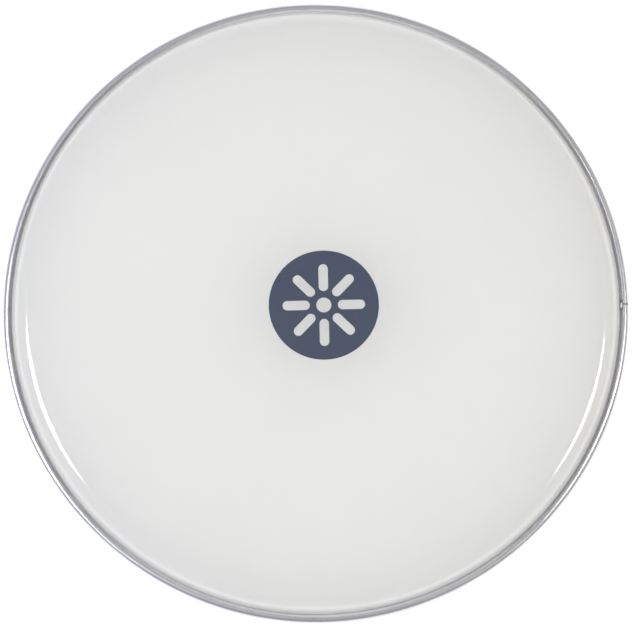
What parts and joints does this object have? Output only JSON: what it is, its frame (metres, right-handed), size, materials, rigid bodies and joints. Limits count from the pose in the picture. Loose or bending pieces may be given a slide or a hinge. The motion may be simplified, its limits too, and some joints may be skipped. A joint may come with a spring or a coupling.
{
  "type": "frame drum head",
  "caption": "Round drumhead: milky film with a formed collar, potted in resin in an aluminium channel hoop, with a round printed badge.",
  "frame": {"origin": "centre of the hoop's underside, on the surface that the head lies on", "axes": "+Z along the head's axis, from the hoop's underside to the playing side; +X towards the hoop's butt joint, which is one degree off it; +Y completes the right-handed frame"},
  "size_m": [0.3186, 0.3186, 0.0175],
  "materials": {
    "aluminium": "bright rolled, fine lines round the hoop",
    "weld_metal": "rough filed weld",
    "milky_film": "smooth milky polyester film, light passes through",
    "cured_resin": "clear, slightly yellow, smooth cast",
    "slate_ink": "screen print, satin"
  },
  "bodies": {
    "root": {"flesh_hoop": "aluminium", "joint_weld": "weld_metal", "drum_skin": "milky_film", "resin_bead": "cured_resin", "printed_badge": "slate_ink"}
  },
  "joints": []
}
